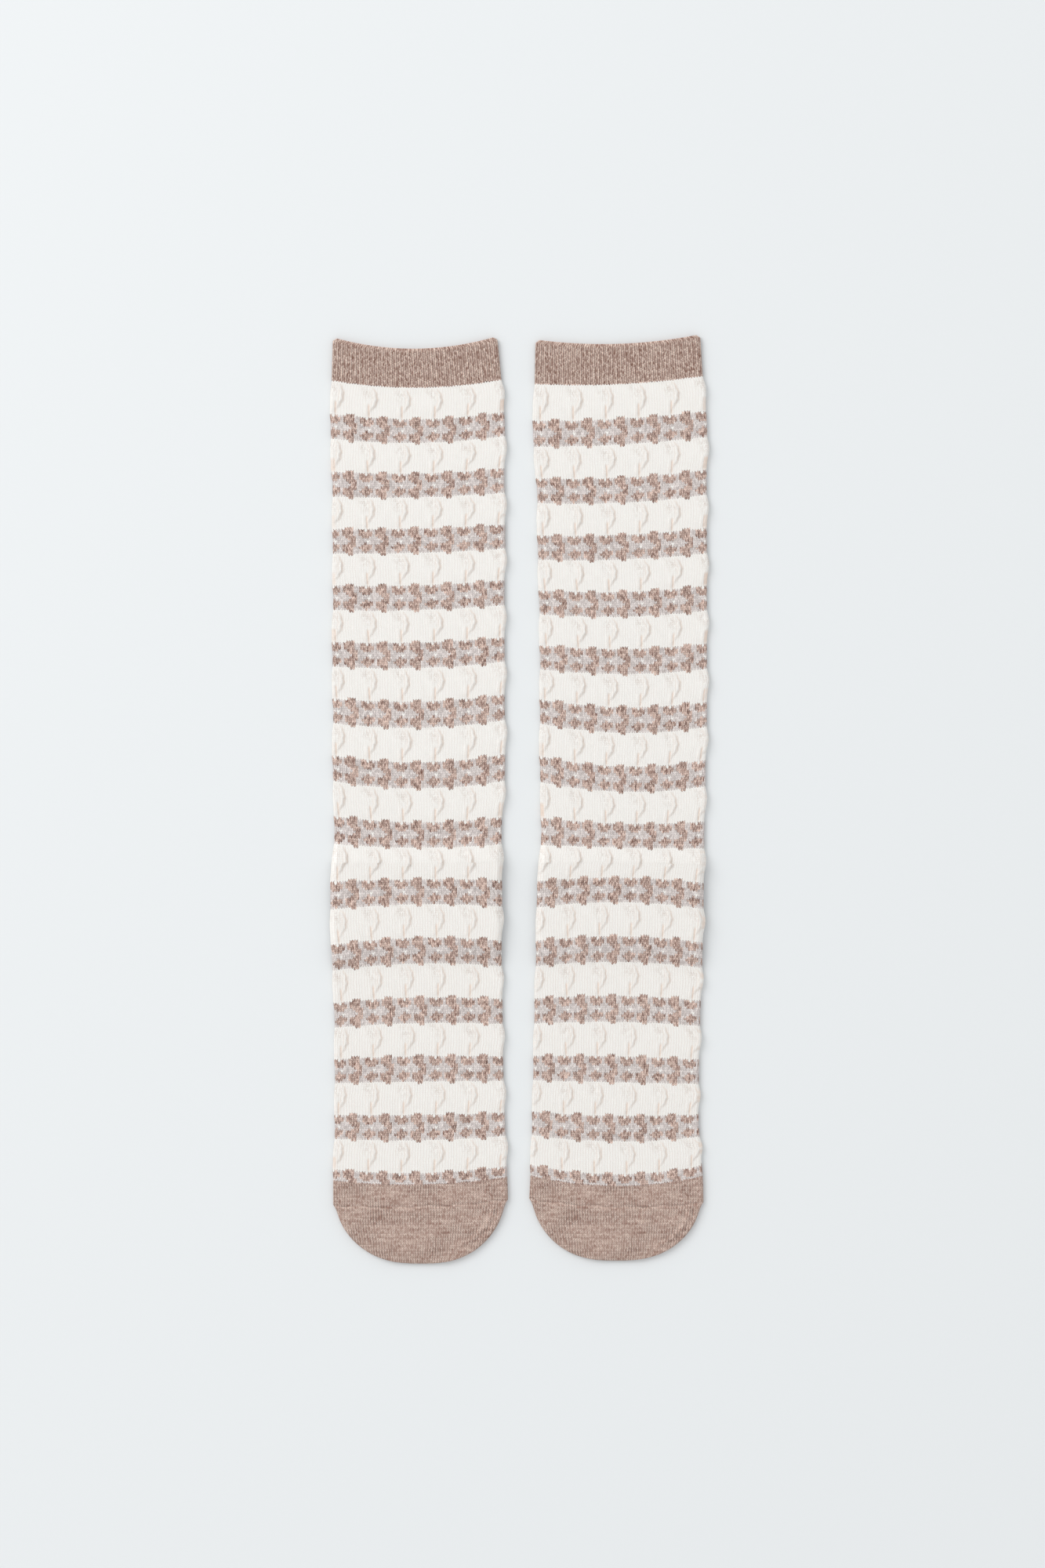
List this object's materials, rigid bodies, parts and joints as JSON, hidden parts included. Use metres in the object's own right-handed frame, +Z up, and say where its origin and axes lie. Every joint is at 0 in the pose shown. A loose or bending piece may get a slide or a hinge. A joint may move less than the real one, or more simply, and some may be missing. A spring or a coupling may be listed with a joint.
{
  "type": "pair of knee-high socks",
  "caption": "Pair of knee-high knitted socks laid flat side by side: ribbed cuffs, striped legs with raised hooks, plain rounded toes.",
  "frame": {"origin": "centre of the pair's bounding box, on the surface that it lies on", "axes": "+Z up off the surface, +Y along the socks from toes to cuffs, +X to the right seen from above"},
  "size_m": [0.2028, 0.4968, 0.0072],
  "materials": {
    "heather_knit": "brown heather yarn, ribbed at the cuff and plain at heel and toe, matt",
    "striped_knit": "cream knit stripes with raised hooks, between pale grey stripes with brown blotches, matt"
  },
  "bodies": {
    "root": {"left_cuff": "heather_knit", "left_leg": "striped_knit", "left_heel": "heather_knit", "left_foot": "striped_knit", "left_toe": "heather_knit", "right_cuff": "heather_knit", "right_leg": "striped_knit", "right_heel": "heather_knit", "right_foot": "striped_knit", "right_toe": "heather_knit"}
  },
  "joints": []
}
